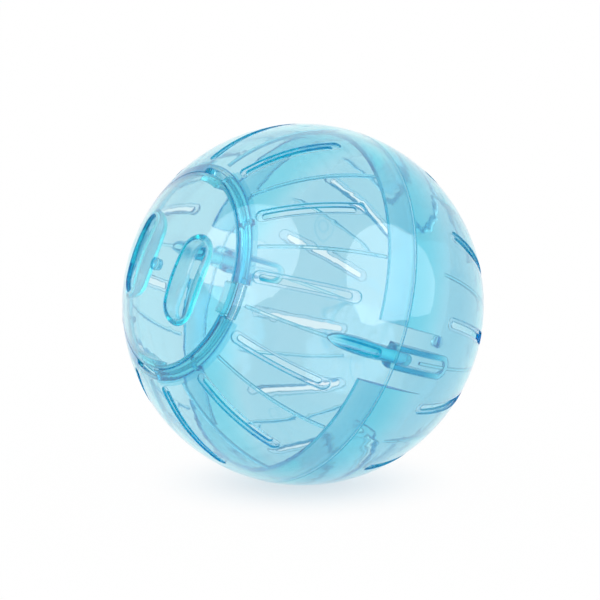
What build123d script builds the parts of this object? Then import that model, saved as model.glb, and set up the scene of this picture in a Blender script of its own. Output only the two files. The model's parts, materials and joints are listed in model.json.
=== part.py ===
from build123d import *
import os
from math import asin, cos, degrees, radians, sin, sqrt

# Hamster ball: two clear half shells that plug together at a seam, and a twist-lock door in the
# mouth of one of them. Lengths are in millimetres and angles in degrees. Every piece is drawn
# about the ball's own axis: the ball's centre is the origin, +Z runs out through the door, the
# seam lies in the XY plane and the latches lie in the XZ plane. The last step lays the ball down.

# The ball
ball_radius = 60.0
wall = 1.6
fit_gap = 0.3
seam_gap = 0.2
overrun = 1.0
door_axis_lean_deg = 71.63
latch_roll_deg = -8.3
seam_turn_deg = 7.5

# Vent slots, a ring of them on each half
slot_count = 12
slot_width = 4.1
slot_strip_width = 2.0
slot_step = 0.7
slot_door_land = 1.9
slot_seam_land = 2.9
slot_door_margin = 6.0
slot_seam_margin = 18.0

# Stiffening ribs inside, one between each two slots
rib_width = 0.9
rib_height = 0.7
rib_seam_margin = 10.6

# Skirt of the far half, which plugs into the door half
skirt_height = 9.0
skirt_wall = 1.9
skirt_opening_deg = 20.0

# Latches: a leaf-shaped rib with a tongue on the door half, and a guide for it on the far half
latch_count = 2
latch_depth = 6.0
leaf_length = 23.3
leaf_width = 4.9
neck_share = 0.15
leaf_shares = ((0.30, 0.92), (0.55, 1.0), (0.775, 0.90), (0.90, 0.70))
groove_radius = 1.7
groove_start = 8.0
groove_depth = 1.5
boss_width = 7.4
boss_length = 3.4
boss_depth = 1.8
tongue_length = 6.7
tongue_width = 4.0
guide_wall = 1.6
guide_length = 24.1

# Mouth of the door half, with its collar, ledge, notches and stops
mouth_radius = 32.9
collar_depth = 3.2
collar_wall = 2.4
ledge_width = 1.4
ledge_height = 1.2
stop_height = 1.9
stop_width = 1.7

# Door, with its finger pockets and lugs
lug_count = 4
lug_width = 11.0
lug_neck = 1.7
lug_thickness = 1.6
lug_reach = 1.3
lock_turn_deg = 34.0
pocket_spacing = 21.6
pocket_width = 9.4
pocket_length = 27.0
pocket_drop = 6.4
pocket_wall = 1.5
pocket_floor_round = 1.0

# Moulding gates at the two poles
gate_radius = 1.9
gate_height = 1.4
gate_recess = 0.5

# Sizes that follow
inner_radius = ball_radius - wall
rim_height = seam_gap / 2
mouth_height = sqrt(ball_radius**2 - mouth_radius**2)
collar_bottom = mouth_height - collar_depth
ledge_top = collar_bottom + ledge_height
ledge_radius = mouth_radius - ledge_width
door_radius = mouth_radius - fit_gap
lug_top = collar_bottom - fit_gap
lug_bottom = lug_top - lug_thickness
lug_neck_outer = ledge_radius - fit_gap
lug_neck_inner = lug_neck_outer - lug_neck
lug_outer = mouth_radius + lug_reach
notch_radius = lug_outer + fit_gap
lug_angle = degrees(lug_width / mouth_radius)
notch_angle = lug_angle + 2 * degrees(fit_gap / mouth_radius)
stop_angle = degrees(stop_width / mouth_radius)
slot_pitch = 360 / slot_count
slot_start = degrees(asin(mouth_radius / ball_radius) + slot_door_margin / ball_radius)
slot_end = 90 - degrees(slot_seam_margin / ball_radius)
rib_end = 90 - degrees(rib_seam_margin / ball_radius)
skirt_inner_radius = inner_radius - fit_gap - skirt_wall
guide_inner = tongue_width / 2 + fit_gap
guide_outer = guide_inner + guide_wall


def sphere_height(radius, reach):
    """Height of a sphere of this radius at a distance from its axis."""
    return sqrt(radius**2 - reach**2)


def sphere_arc(radius, start_height, end_height):
    """Arc of a sphere's section in the XZ plane, between two heights."""
    start = asin(start_height / radius)
    end = asin(end_height / radius)
    middle = (start + end) / 2
    points = [(radius * cos(a), 0, radius * sin(a)) for a in (start, middle, end)]
    return ThreePointArc(*points)


def line(start, end):
    """Straight edge in the XZ plane, from (reach, height) to (reach, height)."""
    return Line((start[0], 0, start[1]), (end[0], 0, end[1]))


def turned(edges, arc_deg=360):
    """Solid of a closed outline in the XZ plane, turned about the ball's axis."""
    return revolve(Face(Wire(edges)), axis=Axis.Z, revolution_arc=arc_deg)


def sector(edges, arc_deg, middle_deg=0):
    """Part of a turned solid, centred on an azimuth."""
    return Rot(0, 0, middle_deg - arc_deg / 2) * turned(edges, arc_deg)


def ring_box(inner, outer, low, high):
    """Outline of a rectangle from one radius to another."""
    corners = [(inner, low), (outer, low), (outer, high), (inner, high)]
    return [line(corners[i - 1], corners[i]) for i in range(len(corners))]


def around(shape, count, first_deg=0):
    """Equally spaced copies of a shape about the ball's axis."""
    return [Rot(0, 0, first_deg + 360 / count * i) * shape for i in range(count)]


def meridian_bar(section, start_deg, end_deg):
    """Solid of a section of (radius, sideways) points carried along the XZ meridian."""
    a = radians(start_deg)
    points = [(h * sin(a), side, h * cos(a)) for h, side in section]
    face = Face(Wire.make_polygon(points))
    return revolve(face, axis=Axis.Y, revolution_arc=end_deg - start_deg)


def radial_plane(colatitude_deg, radius):
    """Plane square to a radius of the ball, with its X axis running towards the seam."""
    a = radians(colatitude_deg)
    outward = Vector(sin(a), 0, cos(a))
    return Plane(origin=outward * radius, x_dir=(cos(a), 0, -sin(a)), z_dir=outward)


def half_disc(plane, radius):
    """Half of a disc, on the side of the plane's origin that its X axis points away from."""
    edges = [
        ThreePointArc((0, radius), (-radius, 0), (0, -radius)),
        Line((0, -radius), (0, radius)),
    ]
    return plane * Face(Wire(edges))


def slot_cutter():
    """Vent slot: a shallow groove with rounded ends, and a narrower strip right through its floor."""
    floor = ball_radius - slot_step
    top = ball_radius + overrun
    below = inner_radius - overrun
    half = slot_width / 2
    strip_half = slot_strip_width / 2
    start = slot_start + degrees(half / ball_radius)
    end = slot_end - degrees(half / ball_radius)
    strip_start = slot_start + degrees((slot_door_land + strip_half) / ball_radius)
    strip_end = slot_end - degrees((slot_seam_land + strip_half) / ball_radius)
    groove = [(floor, -half), (floor, half), (top, half), (top, -half)]
    strip = [(below, -strip_half), (below, strip_half), (top, strip_half), (top, -strip_half)]
    pieces = [meridian_bar(groove, start, end), meridian_bar(strip, strip_start, strip_end)]
    for colatitude, flip in ((start, 0), (end, 180)):
        end_floor = radial_plane(colatitude, floor)
        end_face = half_disc(end_floor * Rot(0, 0, flip), half)
        pieces.append(extrude(end_face, top - floor, dir=end_floor.z_dir))
    for colatitude in (strip_start, strip_end):
        through = radial_plane(colatitude, below) * Circle(strip_half)
        pieces.append(extrude(through, top - below))
    return pieces[0].fuse(*pieces[1:])


def ribs(start_deg, end_deg):
    """Ring of ribs that stand in from the inner face, clear of the slots."""
    half = rib_width / 2
    foot = inner_radius + wall / 2
    top = inner_radius - rib_height
    section = [(top, -half), (top, half), (foot, half), (foot, -half)]
    return around(meridian_bar(section, start_deg, end_deg), slot_count)


def half_space_block():
    """Block as wide as the ball and half as high, for keeping a piece to one side of the seam."""
    return Box(2 * ball_radius, 2 * ball_radius, ball_radius)


def tongue_end(half_width, end_height):
    """Outline of a tongue's rounded end, from its right side round to its left, in the YZ plane."""
    centre = end_height + half_width
    return ThreePointArc((half_width, centre), (0, end_height), (-half_width, centre))


def inward_bar(outline, depth):
    """Bar of an outline in the YZ plane, from a depth under the seam's inner face to the ball's surface."""
    foot = Plane(origin=(inner_radius - depth, 0, 0), x_dir=(0, 1, 0), z_dir=(1, 0, 0))
    return extrude(foot * outline, wall + depth, dir=foot.z_dir)


def root_room(side):
    """Room that reaches into the shell of one half alone: 1 for the door half, -1 for the far half."""
    own_side = Pos(0, 0, side * (rim_height + ball_radius / 2)) * half_space_block()
    return Sphere(inner_radius + wall / 2) & own_side


def latch_groove():
    """Round-bottomed groove in the outside of a leaf, which runs out at the leaf's tip."""
    start = sphere_height(ball_radius, groove_start) - groove_depth + groove_radius
    end = sphere_height(ball_radius, leaf_length) + groove_radius
    run = Vector(end - start, 0, leaf_length - groove_start)
    across = Plane(origin=(start, 0, groove_start), x_dir=(0, 1, 0), z_dir=run)
    return extrude(across * Circle(groove_radius), run.length) + Pos(across.origin) * Sphere(groove_radius)


def latch_leaf():
    """Leaf-shaped rib inside the shell, with a stem that runs on past the seam as a tongue.

    Each leaf share is a place along the leaf and the leaf's width there.
    """
    half = tongue_width / 2
    low = half - tongue_length
    neck = leaf_length * neck_share
    tip = (0, leaf_length)
    left = [(-leaf_width / 2 * across, leaf_length * along) for along, across in leaf_shares]
    right = [(-across, along) for across, along in reversed(left)]
    outline = [
        tongue_end(half, -tongue_length),
        Line((-half, low), (-half, neck)),
        Spline((-half, neck), *left, tip, *right, (half, neck), tangents=((0, 1), (0, -1))),
        Line((half, neck), (half, low)),
    ]
    return inward_bar(Face(Wire(outline)), latch_depth) & (root_room(1) + Sphere(inner_radius - fit_gap))


def latch_boss():
    """Thicker patch of the shell round the root of a tongue."""
    bar = inward_bar(RectangleRounded(boss_width, 2 * boss_length, boss_length / 2), boss_depth)
    return bar & root_room(1)


def latch_guide():
    """U-shaped wall on the far half's inner face, which a tongue slides into."""
    outlines = []
    for half, inset in ((guide_outer, 0), (guide_inner, guide_wall)):
        end = inset - guide_length
        edges = [
            tongue_end(half, end),
            Line((-half, end + half), (-half, inset)),
            Line((-half, inset), (half, inset)),
            Line((half, inset), (half, end + half)),
        ]
        outlines.append(Face(Wire(edges)))
    return inward_bar(outlines[0] - outlines[1], latch_depth) & root_room(-1)


def skirt():
    """Ring that plugs into the door half: rooted in the far half's shell, and open at the latches."""
    skirt_outer = inner_radius - fit_gap
    root_radius = inner_radius + wall / 2
    foot = -sphere_height(root_radius, skirt_inner_radius)
    root_rim = sphere_height(root_radius, rim_height)
    skirt_rim = sphere_height(skirt_outer, rim_height)
    skirt_top = sphere_height(skirt_outer, skirt_height)
    edges = [
        sphere_arc(root_radius, foot, -rim_height),
        line((root_rim, -rim_height), (skirt_rim, -rim_height)),
        sphere_arc(skirt_outer, -rim_height, skirt_height),
        line((skirt_top, skirt_height), (skirt_inner_radius, skirt_height)),
        line((skirt_inner_radius, skirt_height), (skirt_inner_radius, foot)),
    ]
    ring = Rot(0, 0, seam_turn_deg) * turned(edges)
    opening = ring_box(skirt_inner_radius - overrun, ball_radius, foot - overrun, skirt_height + overrun)
    return ring - around(sector(opening, skirt_opening_deg), latch_count)


def gate(pole):
    """Moulding gate at a pole (1 for the door's, -1 for the far one): its boss and its recess."""
    boss_height = wall / 2 + gate_height
    boss_middle = ball_radius - wall / 2 - boss_height / 2
    recess_height = gate_recess + overrun
    recess_middle = ball_radius - gate_recess + recess_height / 2
    boss = Pos(0, 0, pole * boss_middle) * Cylinder(gate_radius, boss_height)
    recess = Pos(0, 0, pole * recess_middle) * Cylinder(gate_radius, recess_height)
    return boss, recess


def door_half_shell():
    """Half with the mouth: collar, ledge, notches and stops, and the latch leaves with their tongues."""
    collar_outer = mouth_radius + collar_wall
    inner_edge = sphere_height(inner_radius, collar_outer)
    rim_inner = sphere_height(inner_radius, rim_height)
    rim_outer = sphere_height(ball_radius, rim_height)
    edges = [
        sphere_arc(ball_radius, rim_height, mouth_height),
        line((mouth_radius, mouth_height), (mouth_radius, ledge_top)),
        line((mouth_radius, ledge_top), (ledge_radius, ledge_top)),
        line((ledge_radius, ledge_top), (ledge_radius, collar_bottom)),
        line((ledge_radius, collar_bottom), (collar_outer, collar_bottom)),
        line((collar_outer, collar_bottom), (collar_outer, inner_edge)),
        sphere_arc(inner_radius, inner_edge, rim_height),
        line((rim_inner, rim_height), (rim_outer, rim_height)),
    ]
    shell = Rot(0, 0, seam_turn_deg) * turned(edges)
    stop = ring_box(mouth_radius, collar_outer, collar_bottom - stop_height, collar_bottom + wall)
    release_stop = (notch_angle + stop_angle) / 2
    lock_stop = -lock_turn_deg - release_stop
    for middle in (release_stop, lock_stop):
        shell += around(sector(stop, stop_angle, middle), lug_count)
    shell += ribs(slot_start, rib_end)
    shell += around(latch_leaf() + latch_boss(), latch_count)
    shell -= around(latch_groove(), latch_count)
    notch_top = mouth_height + overrun
    notch = ring_box(ledge_radius - overrun, notch_radius, collar_bottom - overrun, notch_top)
    shell -= around(sector(notch, notch_angle), lug_count)
    shell -= around(slot_cutter(), slot_count, slot_pitch / 2)
    return shell


def far_half_shell():
    """Half without a mouth: it carries the skirt that plugs into the other half, and the guides."""
    rim_outer = sphere_height(ball_radius, rim_height)
    rim_inner = sphere_height(inner_radius, rim_height)
    edges = [
        sphere_arc(ball_radius, -ball_radius, -rim_height),
        line((rim_outer, -rim_height), (rim_inner, -rim_height)),
        sphere_arc(inner_radius, -rim_height, -inner_radius),
        line((0, -inner_radius), (0, -ball_radius)),
    ]
    shell = Rot(0, 0, seam_turn_deg) * turned(edges) + skirt()
    shell += ribs(180 - rib_end, 180 - slot_start)
    shell += around(latch_guide(), latch_count)
    boss, recess = gate(-1)
    shell = shell + boss - recess
    mirrored = mirror(slot_cutter(), about=Plane.XY)
    shell -= around(mirrored, slot_count, slot_pitch / 2)
    return shell


def door():
    """Domed door: a rim that sits over the ledge, lugs that turn under it, and two finger pockets."""
    rim_bottom = ledge_top + fit_gap
    rim_top = sphere_height(ball_radius, door_radius)
    rim_inner = door_radius - wall
    rim_root = sphere_height(inner_radius, rim_inner)
    edges = [
        sphere_arc(ball_radius, ball_radius, rim_top),
        line((door_radius, rim_top), (door_radius, rim_bottom)),
        line((door_radius, rim_bottom), (rim_inner, rim_bottom)),
        line((rim_inner, rim_bottom), (rim_inner, rim_root)),
        sphere_arc(inner_radius, rim_root, inner_radius),
        line((0, inner_radius), (0, ball_radius)),
    ]
    cap = Rot(0, 0, seam_turn_deg) * turned(edges)
    middle_radius = ball_radius - wall / 2
    neck_heights = [sphere_height(middle_radius, r) for r in (lug_neck_outer, lug_neck_inner)]
    lug = [
        line((lug_neck_inner, lug_bottom), (lug_outer, lug_bottom)),
        line((lug_outer, lug_bottom), (lug_outer, lug_top)),
        line((lug_outer, lug_top), (lug_neck_outer, lug_top)),
        line((lug_neck_outer, lug_top), (lug_neck_outer, neck_heights[0])),
        sphere_arc(middle_radius, *neck_heights),
        line((lug_neck_inner, neck_heights[1]), (lug_neck_inner, lug_bottom)),
    ]
    cap += around(sector(lug, lug_angle), lug_count)
    floor_height = ball_radius - pocket_drop
    centre = (pocket_spacing + pocket_width) / 2
    cutters = []
    for margin in (0, pocket_wall):
        outline = SlotOverall(pocket_length + 2 * margin, pocket_width + 2 * margin, rotation=90)
        base = Pos(centre, 0, floor_height - margin) * outline
        block = extrude(base, pocket_drop + margin + overrun)
        bottom = block.edges().group_by(Axis.Z)[0]
        cutters.append(fillet(bottom, pocket_floor_round + margin))
    cutter, backing = cutters
    backing = backing & Sphere(ball_radius)
    cap += around(backing, 2)
    cap -= around(cutter, 2)
    boss, recess = gate(1)
    return cap + boss - recess


pieces = {"door_half_shell": door_half_shell(), "far_half_shell": far_half_shell(), "door": door()}
lay_down = Rot(door_axis_lean_deg, 0, 0) * Rot(0, 0, latch_roll_deg)
os.makedirs("parts", exist_ok=True)
for name, piece in pieces.items():
    export_step(lay_down * piece, os.path.join("parts", name + ".step"))
    print(name, "volume", round(piece.volume), "solids", len(piece.solids()))
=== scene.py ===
"""A clear blue hamster ball on a white floor: two plugged halves and a twist-lock door of one tinted plastic.

The three solids keep their own shapes. This script gives them their plastic, stands them on a floor and
lights them. Lengths are in metres.
"""

import json
import math

import bpy
import numpy as np
from mathutils import Matrix, Vector


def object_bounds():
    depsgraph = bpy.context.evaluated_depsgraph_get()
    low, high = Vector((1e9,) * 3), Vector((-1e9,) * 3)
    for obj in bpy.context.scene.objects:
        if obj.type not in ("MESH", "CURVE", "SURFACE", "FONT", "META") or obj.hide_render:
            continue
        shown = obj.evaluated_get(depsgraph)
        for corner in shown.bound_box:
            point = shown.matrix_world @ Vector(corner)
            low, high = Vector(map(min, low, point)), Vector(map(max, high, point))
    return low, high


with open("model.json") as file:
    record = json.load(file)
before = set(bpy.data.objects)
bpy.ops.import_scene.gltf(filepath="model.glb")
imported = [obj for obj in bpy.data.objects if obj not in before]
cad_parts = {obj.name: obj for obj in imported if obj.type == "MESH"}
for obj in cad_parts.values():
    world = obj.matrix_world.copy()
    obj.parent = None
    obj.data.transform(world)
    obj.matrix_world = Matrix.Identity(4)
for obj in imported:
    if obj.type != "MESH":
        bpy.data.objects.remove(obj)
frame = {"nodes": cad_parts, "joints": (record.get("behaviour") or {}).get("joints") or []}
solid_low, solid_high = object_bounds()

# The ball: its size and the door's axis come from the frame, and the latches are turned about that axis.
BALL_RADIUS = (solid_high.z - solid_low.z) / 2
DOOR_AXIS = Vector(next(joint["axis"] for joint in frame["joints"] if joint["name"] == "door_lift"))
LATCH_ROLL = math.radians(-8.3)
LATCH_OUT = Matrix.Rotation(LATCH_ROLL, 3, DOOR_AXIS) @ Vector((1.0, 0.0, 0.0))
LATCH_SIDE = DOOR_AXIS.cross(LATCH_OUT)

# The camera: a long lens a little above the ball, with the door towards its left.
CAMERA_AZIMUTH = math.radians(57.3)
CAMERA_ELEVATION = math.radians(10.0)
CAMERA_DISTANCE = 17.0 * BALL_RADIUS
BALL_RIGHT_OF_AXIS = 0.0166 * BALL_RADIUS
BALL_BELOW_AXIS = 0.0249 * BALL_RADIUS
CAMERA_LENS = 184.3
CAMERA_SENSOR = 36.0

# The plastic through its depth: what is lost per metre is the density times one less the colour.
PLASTIC_IOR = 1.46
DEPTH_TINT = (0.49, 0.985, 0.995)
DEPTH_DENSITY = 300.0

# The plastic at its faces: a plain face and a flow mark, then what each kind of place adds to them: painted
# shade on walls, ribs, the rim and edges, and a tint on flow lines and the far half.
FACE_TINT = (0.89, 0.885, 0.937)
FLOW_TINT = (0.865, 0.87, 0.927)
PAINTED_SHADE_AND_PLACE_TINTS = {
    "Wall_shade": (0.16, 0.68, 0.84),
    "Rib_shade": (0.002, 0.25, 0.50),
    "Rim_shade": (0.30, 0.76, 0.89),
    "Line": (0.62, 0.87, 0.94),
    "Edge_shade": (0.12, 0.53, 0.75),
    "Far": (0.74, 0.88, 0.93),
}

# Walls: the cosine between a face's normal and the line from the ball's centre, at which the face is all
# wall and no wall, and the door's share of a wall's tint, which is painted shade on the side walls.
WALL_FACING = 0.80
FACE_FACING = 0.92
DOOR_WALL_SHADE_SHARE = 0.15

# Ribs: reach from the ball's centre at which a rib starts and is deepest, and the latch's paler middle.
# The rib tint is painted shade, darker the deeper a rib stands into the ball and lighter at the latch's
# middle.
RIB_SHALLOW = 0.05825
RIB_DEEP = 0.0545
RIB_DEPTH_POWER = 2.5
LATCH_MIDDLE = 0.0004
LATCH_EDGE = 0.0022
LATCH_MIDDLE_SHADE_SHARE = 0.3

# The mouth: reach from the door's axis and height along it of the rim, the notches, the gate and the door.
# The rim and the gate take a darker teal tint that is painted shade.
RIM_INSIDE = 0.0322
RIM_OUTSIDE = 0.0368
RIM_FOOT = 0.0435
NOTCH_HALF_ANGLE = math.radians(10.18)
GATE_REACH = 0.0021
DOOR_FOOT = 0.0505

# Rounded edges: their radius, the cosine of the bend at which an edge is full and is none, and the door's
# share of an edge's tint, which is painted shade along the edges.
EDGE_ROUND = 0.0005
EDGE_SAMPLES = 4
EDGE_FULL = 0.85
EDGE_NONE = 0.99
DOOR_EDGE_SHADE_SHARE = 1.8

# The far half: height along the door's axis at which its deeper tint starts and is full.
FAR_START = -0.001
FAR_FULL = -0.020

# Gloss, ripple, scuffs and flow marks. Ripple fades from inner to outer faces by the same cosine as walls.
FACE_ROUGHNESS = 0.015
WALL_ROUGHNESS = 0.16
GLOSS_COAT = 0.4
RIPPLE_NOISE = {"Scale": 150.0, "Detail": 1.0, "Roughness": 0.4, "Distortion": 0.6}
RIPPLE_HEIGHT = 0.00014
OUTER_RIPPLE_SHARE = 0.2
INSIDE_FACING = -0.1
OUTSIDE_FACING = 0.1
SCUFF_NOISE = {"Scale": 900.0, "Detail": 4.0, "Roughness": 0.7}
SCUFF_START = 0.52
SCUFF_FULL = 0.75
SCUFF_ROUGHNESS = 0.05
FLOW_NOISE = {"Scale": 45.0, "Detail": 2.0, "Distortion": 1.5}
FLOW_LINE_NOISE = {"Scale": 40.0, "Detail": 1.0, "Roughness": 0.3, "Distortion": 0.8}
FLOW_LINE_COUNT = 6.0
FLOW_LINE_WIDTH = 0.05

# The room: the floor's plain share is what shows no shadow, near the ball's foot and away from it.
WHITE = (1.0, 1.0, 1.0)
FLOOR_HALF_WIDTH = 4.0
FLOOR_WHITE = 0.97
FLOOR_ROUGHNESS = 0.9
FLOOR_PLAIN_NEAR = 0.70
FLOOR_PLAIN_FAR = 0.98
# The floor's emission runs from a painted faint blue light at the ball's foot to white further out.
FLOOR_PAINTED_GLOW = (0.87, 0.945, 1.0)
SHADOW_REACH = 0.055
ROOM_LIGHT = 1.0

# Light crosses many faces, and runs along inside the walls, before it leaves the ball.
LIGHT_BOUNCES = 256

# The softboxes: each one's way from the ball is right, up and towards the camera in the main view.
LEFT_SOFTBOX_WAY = (-0.54, 0.50, 0.68)
RIGHT_SOFTBOX_WAY = (0.83, 0.23, 0.50)
SOFTBOX_DISTANCE = 1.0
SOFTBOX_WIDTH = 1.2
SOFTBOX_WATTS = 6.5


def camera_axes():
    """Right, up and towards-the-camera directions, from the camera's azimuth and elevation about the ball."""
    sin_a, cos_a = math.sin(CAMERA_AZIMUTH), math.cos(CAMERA_AZIMUTH)
    sin_e, cos_e = math.sin(CAMERA_ELEVATION), math.cos(CAMERA_ELEVATION)
    right = Vector((cos_a, sin_a, 0.0))
    towards = Vector((sin_a * cos_e, -cos_a * cos_e, sin_e))
    return right, towards.cross(right), towards


def add_camera():
    """The photographed view: a distant camera with a long lens, and the ball just off its axis."""
    right, up, towards = camera_axes()
    lens = bpy.data.cameras.new("long_lens")
    lens.lens = CAMERA_LENS
    lens.sensor_width = CAMERA_SENSOR
    camera = bpy.data.objects.new("camera", lens)
    bpy.context.scene.collection.objects.link(camera)
    place = towards * CAMERA_DISTANCE - right * BALL_RIGHT_OF_AXIS + up * BALL_BELOW_AXIS
    turn = Matrix((right, up, towards)).transposed()
    camera.matrix_world = Matrix.Translation(place) @ turn.to_4x4()
    bpy.context.scene.camera = camera


def add_softbox(name, way):
    """A round flat lamp that faces the ball and shows in its gloss, but throws no light on matt faces."""
    right, up, towards = camera_axes()
    from_ball = (right * way[0] + up * way[1] + towards * way[2]).normalized()
    lamp = bpy.data.lights.new(name, "AREA")
    lamp.shape = "DISK"
    lamp.size = SOFTBOX_WIDTH
    lamp.energy = SOFTBOX_WATTS
    box = bpy.data.objects.new(name, lamp)
    bpy.context.scene.collection.objects.link(box)
    box.visible_diffuse = False
    turn = from_ball.to_track_quat("Z", "Y").to_matrix()
    box.matrix_world = Matrix.Translation(from_ball * SOFTBOX_DISTANCE) @ turn.to_4x4()


def add_room():
    """A white room all round, and a square floor under the ball."""
    world = bpy.data.worlds.new("white_room")
    bpy.context.scene.world = world
    world.use_nodes = True
    background = world.node_tree.nodes["Background"]
    background.inputs["Color"].default_value = (*WHITE, 1.0)
    background.inputs["Strength"].default_value = ROOM_LIGHT
    corners = np.array(((-1, -1), (1, -1), (1, 1), (-1, 1)), float) * FLOOR_HALF_WIDTH
    places = np.column_stack((corners, np.full(len(corners), solid_low.z)))
    mesh = bpy.data.meshes.new("floor")
    mesh.from_pydata(places.tolist(), [], [(0, 1, 2, 3)])
    floor = bpy.data.objects.new("floor", mesh)
    bpy.context.scene.collection.objects.link(floor)
    mesh.materials.append(white_floor_paint())


def feed(tree, socket, value):
    """Join an input socket to another node's output, or give it a plain value."""
    if isinstance(value, bpy.types.NodeSocket):
        tree.links.new(value, socket)
    else:
        socket.default_value = value


def add_node(tree, kind, **values):
    """A new shader node, with the values or outputs that feed its named inputs."""
    node = tree.nodes.new("ShaderNode" + kind)
    for name, value in values.items():
        feed(tree, node.inputs[name.replace("_", " ")], value)
    return node


def add_math(tree, operation, *terms):
    """What a math operation makes of one or two numbers or outputs."""
    node = tree.nodes.new("ShaderNodeMath")
    node.operation = operation
    for socket, term in zip(node.inputs, terms):
        feed(tree, socket, term)
    return node.outputs["Value"]


def add_vector(tree, operation, *terms, result="Vector"):
    """What a vector operation makes of one or two vectors or outputs: its Vector, or its Value if asked."""
    node = tree.nodes.new("ShaderNodeVectorMath")
    node.operation = operation
    for socket, term in zip(node.inputs, terms):
        feed(tree, socket, term)
    return node.outputs[result]


def add_ramp(tree, value, start, end, low=0.0, high=1.0, smooth=False):
    """A number that runs from low to high as the value runs from start to end, and holds beyond them."""
    node = add_node(tree, "MapRange", Value=value, From_Min=start, From_Max=end, To_Min=low, To_Max=high)
    if smooth:
        node.interpolation_type = "SMOOTHSTEP"
    return node.outputs["Result"]


def add_product(tree, first, *others):
    """The product of several numbers or outputs; for masks, the place where they all hold."""
    for other in others:
        first = add_math(tree, "MULTIPLY", first, other)
    return first


def add_mix(tree, factor, first, second):
    """A colour that runs from the first to the second as the factor runs from nought to one."""
    mix = tree.nodes.new("ShaderNodeMix")
    mix.data_type = "RGBA"
    feed(tree, mix.inputs["Factor"], factor)
    feed(tree, mix.inputs["A"], (*first, 1.0))
    feed(tree, mix.inputs["B"], (*second, 1.0))
    return mix.outputs["Result"]


def white_floor_paint():
    """Matt white that keeps a share of the shadow, most of it near the ball's foot; the rest is plain white.

    The plain share shows to the camera and through the plastic, and carries a painted faint blue light under
    the ball.
    """
    paint = bpy.data.materials.new("white_floor")
    paint.use_nodes = True
    tree = paint.node_tree
    matt = tree.nodes["Principled BSDF"]
    matt.inputs["Base Color"].default_value = (FLOOR_WHITE, FLOOR_WHITE, FLOOR_WHITE, 1.0)
    matt.inputs["Roughness"].default_value = FLOOR_ROUGHNESS
    matt.inputs["Specular IOR Level"].default_value = 0.0
    path = add_node(tree, "LightPath").outputs
    seen = add_math(tree, "MAXIMUM", path["Is Camera Ray"], path["Is Glossy Ray"])
    seen_or_through = add_math(tree, "MAXIMUM", seen, path["Is Transmission Ray"])
    spot = add_node(tree, "TexCoord").outputs["Object"]
    reach = add_vector(tree, "DISTANCE", spot, (0.0, 0.0, solid_low.z), result="Value")
    plain = add_ramp(tree, reach, 0.0, SHADOW_REACH, FLOOR_PLAIN_NEAR, FLOOR_PLAIN_FAR, smooth=True)
    away = add_ramp(tree, reach, 0.0, SHADOW_REACH, smooth=True)
    # Painted light: faint blue at the ball's foot, white further out.
    white = add_node(tree, "Emission", Color=add_mix(tree, away, FLOOR_PAINTED_GLOW, WHITE))
    mix = add_node(tree, "MixShader", Fac=add_product(tree, seen_or_through, plain))
    tree.links.new(matt.outputs["BSDF"], mix.inputs[1])
    tree.links.new(white.outputs["Emission"], mix.inputs[2])
    tree.links.new(mix.outputs["Shader"], tree.nodes["Material Output"].inputs["Surface"])
    return paint


def mouth_masks(group, spot, height, axis_reach):
    """Masks for the shells clear of the door and its notches, and for the painted shade on the mouth's rim
    and the door's gate.

    The four notches lie out along the latches and square to them: there the product of a spot's two
    distances from the latches' planes, over its squared reach from the axis, is half the sine of twice
    the angle from the notch's middle.
    """
    within_rim = add_math(group, "LESS_THAN", axis_reach, RIM_OUTSIDE)
    above_foot = add_math(group, "GREATER_THAN", height, RIM_FOOT)
    out = add_vector(group, "DOT_PRODUCT", spot, LATCH_OUT, result="Value")
    side = add_vector(group, "DOT_PRODUCT", spot, LATCH_SIDE, result="Value")
    off_quarter = add_math(group, "ABSOLUTE", add_product(group, out, side))
    spread = add_math(group, "DIVIDE", off_quarter, add_product(group, axis_reach, axis_reach))
    near_notch = add_math(group, "LESS_THAN", spread, math.sin(2 * NOTCH_HALF_ANGLE) / 2)
    off_notch = add_math(group, "SUBTRACT", 1.0, add_product(group, near_notch, within_rim, above_foot))
    below_door = add_math(group, "LESS_THAN", height, DOOR_FOOT)
    past_mouth = add_math(group, "GREATER_THAN", axis_reach, RIM_INSIDE)
    rim = add_product(group, past_mouth, within_rim, above_foot, off_notch)
    gate = add_product(group, add_math(group, "LESS_THAN", axis_reach, GATE_REACH), above_foot)
    return add_product(group, below_door, off_notch), add_math(group, "MAXIMUM", rim, gate)


def rib_shade_mask(group, spot, shell):
    """Painted shade by how deep a rib, latch or skirt stands into the ball, on the shells only; less at a
    latch's middle.
    """
    reach = add_vector(group, "LENGTH", spot, result="Value")
    depth = add_math(group, "POWER", add_ramp(group, reach, RIB_SHALLOW, RIB_DEEP), RIB_DEPTH_POWER)
    side = add_vector(group, "DOT_PRODUCT", spot, LATCH_SIDE, result="Value")
    off_middle = add_math(group, "ABSOLUTE", side)
    latch_shade_share = add_ramp(group, off_middle, LATCH_MIDDLE, LATCH_EDGE, LATCH_MIDDLE_SHADE_SHARE, smooth=True)
    return add_product(group, depth, shell, latch_shade_share)


def edge_shade_mask(group, rounded, shell):
    """Painted shade along edges: where the rounded normal bends away from the face's own, stronger on the
    door than on the shells.
    """
    face = add_node(group, "NewGeometry").outputs["Normal"]
    bend = add_vector(group, "DOT_PRODUCT", rounded, face, result="Value")
    edge = add_ramp(group, bend, EDGE_FULL, EDGE_NONE, 1.0, 0.0)
    return add_product(group, edge, add_ramp(group, shell, 0.0, 1.0, DOOR_EDGE_SHADE_SHARE, 1.0))


def flow_line_mask(group, spot, facing, far):
    """Thin wavy lines on the far half's inner faces: the contours of a noise, at evenly spaced levels."""
    field = add_node(group, "TexNoise", Vector=spot, **FLOW_LINE_NOISE).outputs["Fac"]
    contour = add_math(group, "PINGPONG", add_math(group, "MULTIPLY", field, FLOW_LINE_COUNT), 1.0)
    line = add_ramp(group, contour, 0.0, FLOW_LINE_WIDTH, 1.0, 0.0)
    inner = add_math(group, "LESS_THAN", facing, 0.0)
    return add_product(group, line, inner, far)


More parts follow.
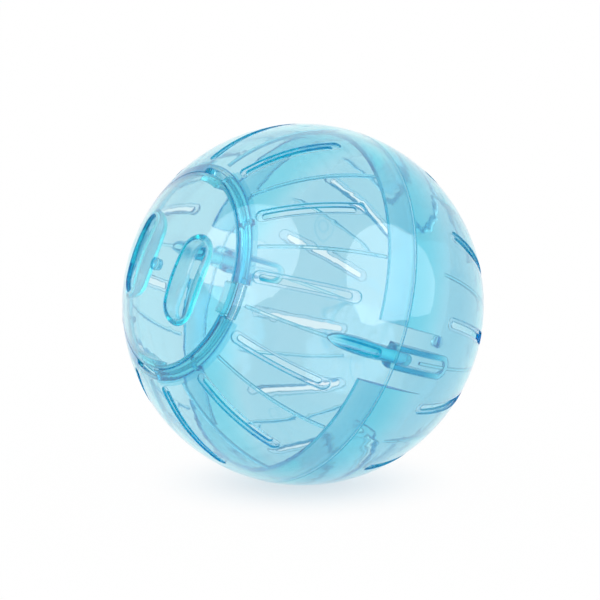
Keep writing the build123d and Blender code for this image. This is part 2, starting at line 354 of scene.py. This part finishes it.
def moulded_detail_and_painted_shade():
    """What the mould and use leave on the plastic, and where shade is painted on it, as masks, a height and a
    normal over the ball.

    A spot is placed by its reach from the ball's centre, its height along the door's axis and its reach
    from that axis. A face follows the ball where its normal lies along the line from the centre, and any
    other face is a duller wall. Ripple is a height, strong on the inner faces, where the plastic shrank.
    """
    group = bpy.data.node_groups.new("moulded_detail_and_painted_shade", "ShaderNodeTree")
    place = add_node(group, "TexCoord").outputs
    spot = place["Object"]
    outward = add_vector(group, "NORMALIZE", spot)
    facing = add_vector(group, "DOT_PRODUCT", outward, place["Normal"], result="Value")
    height = add_vector(group, "DOT_PRODUCT", spot, DOOR_AXIS, result="Value")
    off_axis = add_vector(group, "CROSS_PRODUCT", spot, DOOR_AXIS)
    axis_reach = add_vector(group, "LENGTH", off_axis, result="Value")
    shell, rim = mouth_masks(group, spot, height, axis_reach)
    far = add_ramp(group, height, FAR_START, FAR_FULL)
    wall = add_ramp(group, add_math(group, "ABSOLUTE", facing), WALL_FACING, FACE_FACING, 1.0, 0.0)
    dull = add_ramp(group, wall, 0.0, 1.0, FACE_ROUGHNESS, WALL_ROUGHNESS)
    scuff = add_node(group, "TexNoise", Vector=spot, **SCUFF_NOISE).outputs["Fac"]
    scuffed = add_ramp(group, scuff, SCUFF_START, SCUFF_FULL, 0.0, SCUFF_ROUGHNESS)
    ripple = add_node(group, "TexNoise", Vector=spot, **RIPPLE_NOISE).outputs["Fac"]
    ripple_share = add_ramp(group, facing, INSIDE_FACING, OUTSIDE_FACING, 1.0, OUTER_RIPPLE_SHARE)
    bevel = add_node(group, "Bevel", Radius=EDGE_ROUND)
    bevel.samples = EDGE_SAMPLES
    rounded = bevel.outputs["Normal"]
    # The wall, rib, rim and edge masks place painted shade; the line and flow masks are flow marks, and the
    # far mask is the far half's deeper tint.
    marks = {
        "Roughness": add_math(group, "ADD", dull, scuffed),
        "Ripple": add_product(group, ripple, ripple_share),
        "Flow": add_node(group, "TexNoise", Vector=spot, **FLOW_NOISE).outputs["Fac"],
        "Wall_shade": add_product(group, wall, add_ramp(group, shell, 0.0, 1.0, DOOR_WALL_SHADE_SHARE, 1.0)),
        "Rib_shade": rib_shade_mask(group, spot, shell),
        "Rim_shade": rim,
        "Line": flow_line_mask(group, spot, facing, far),
        "Edge_shade": edge_shade_mask(group, rounded, shell),
        "Far": far,
    }
    for name in marks:
        group.interface.new_socket(name, in_out="OUTPUT", socket_type="NodeSocketFloat")
    group.interface.new_socket("Rounded", in_out="OUTPUT", socket_type="NodeSocketVector")
    result = group.nodes.new("NodeGroupOutput")
    for name, mark in marks.items():
        group.links.new(mark, result.inputs[name])
    group.links.new(rounded, result.inputs["Rounded"])
    return group


def clear_blue_plastic():
    """Moulded clear plastic, tinted through its depth and again at each face that light passes.

    A face's tint is that of a plain face or flow mark, times each place's tint to the power of its mask; at
    walls, ribs, the rim and edges that tint is painted shade.
    The gloss coat lies only where a face is met from outside.
    """
    plastic = bpy.data.materials.new("clear_blue_moulding")
    plastic.use_nodes = True
    tree = plastic.node_tree
    detail = tree.nodes.new("ShaderNodeGroup")
    detail.node_tree = moulded_detail_and_painted_shade()
    marks = detail.outputs
    tint = add_mix(tree, marks["Flow"], FACE_TINT, FLOW_TINT)
    for place, colour in PAINTED_SHADE_AND_PLACE_TINTS.items():
        place_tint_and_shade = add_node(tree, "Gamma", Color=(*colour, 1.0), Gamma=marks[place])
        tint = add_vector(tree, "MULTIPLY", tint, place_tint_and_shade.outputs["Color"])
    from_inside = add_node(tree, "NewGeometry").outputs["Backfacing"]
    bump = add_node(tree, "Bump", Distance=RIPPLE_HEIGHT, Height=marks["Ripple"], Normal=marks["Rounded"])
    shader = tree.nodes["Principled BSDF"]
    shader.inputs["Transmission Weight"].default_value = 1.0
    shader.inputs["IOR"].default_value = PLASTIC_IOR
    feed(tree, shader.inputs["Base Color"], tint)
    feed(tree, shader.inputs["Roughness"], marks["Roughness"])
    feed(tree, shader.inputs["Coat Weight"], add_ramp(tree, from_inside, 0.0, 1.0, GLOSS_COAT, 0.0))
    feed(tree, shader.inputs["Normal"], bump.outputs["Normal"])
    depth = add_node(tree, "VolumeAbsorption", Color=(*DEPTH_TINT, 1.0), Density=DEPTH_DENSITY)
    tree.links.new(depth.outputs["Volume"], tree.nodes["Material Output"].inputs["Volume"])
    return plastic


plastic = clear_blue_plastic()
for node in frame["nodes"].values():
    node.data.materials.clear()
    node.data.materials.append(plastic)

add_room()
add_camera()
add_softbox("left_softbox", LEFT_SOFTBOX_WAY)
add_softbox("right_softbox", RIGHT_SOFTBOX_WAY)

scene = bpy.context.scene
scene.view_settings.view_transform = "Standard"
scene.cycles.max_bounces = LIGHT_BOUNCES
scene.cycles.transmission_bounces = LIGHT_BOUNCES
scene.cycles.glossy_bounces = LIGHT_BOUNCES
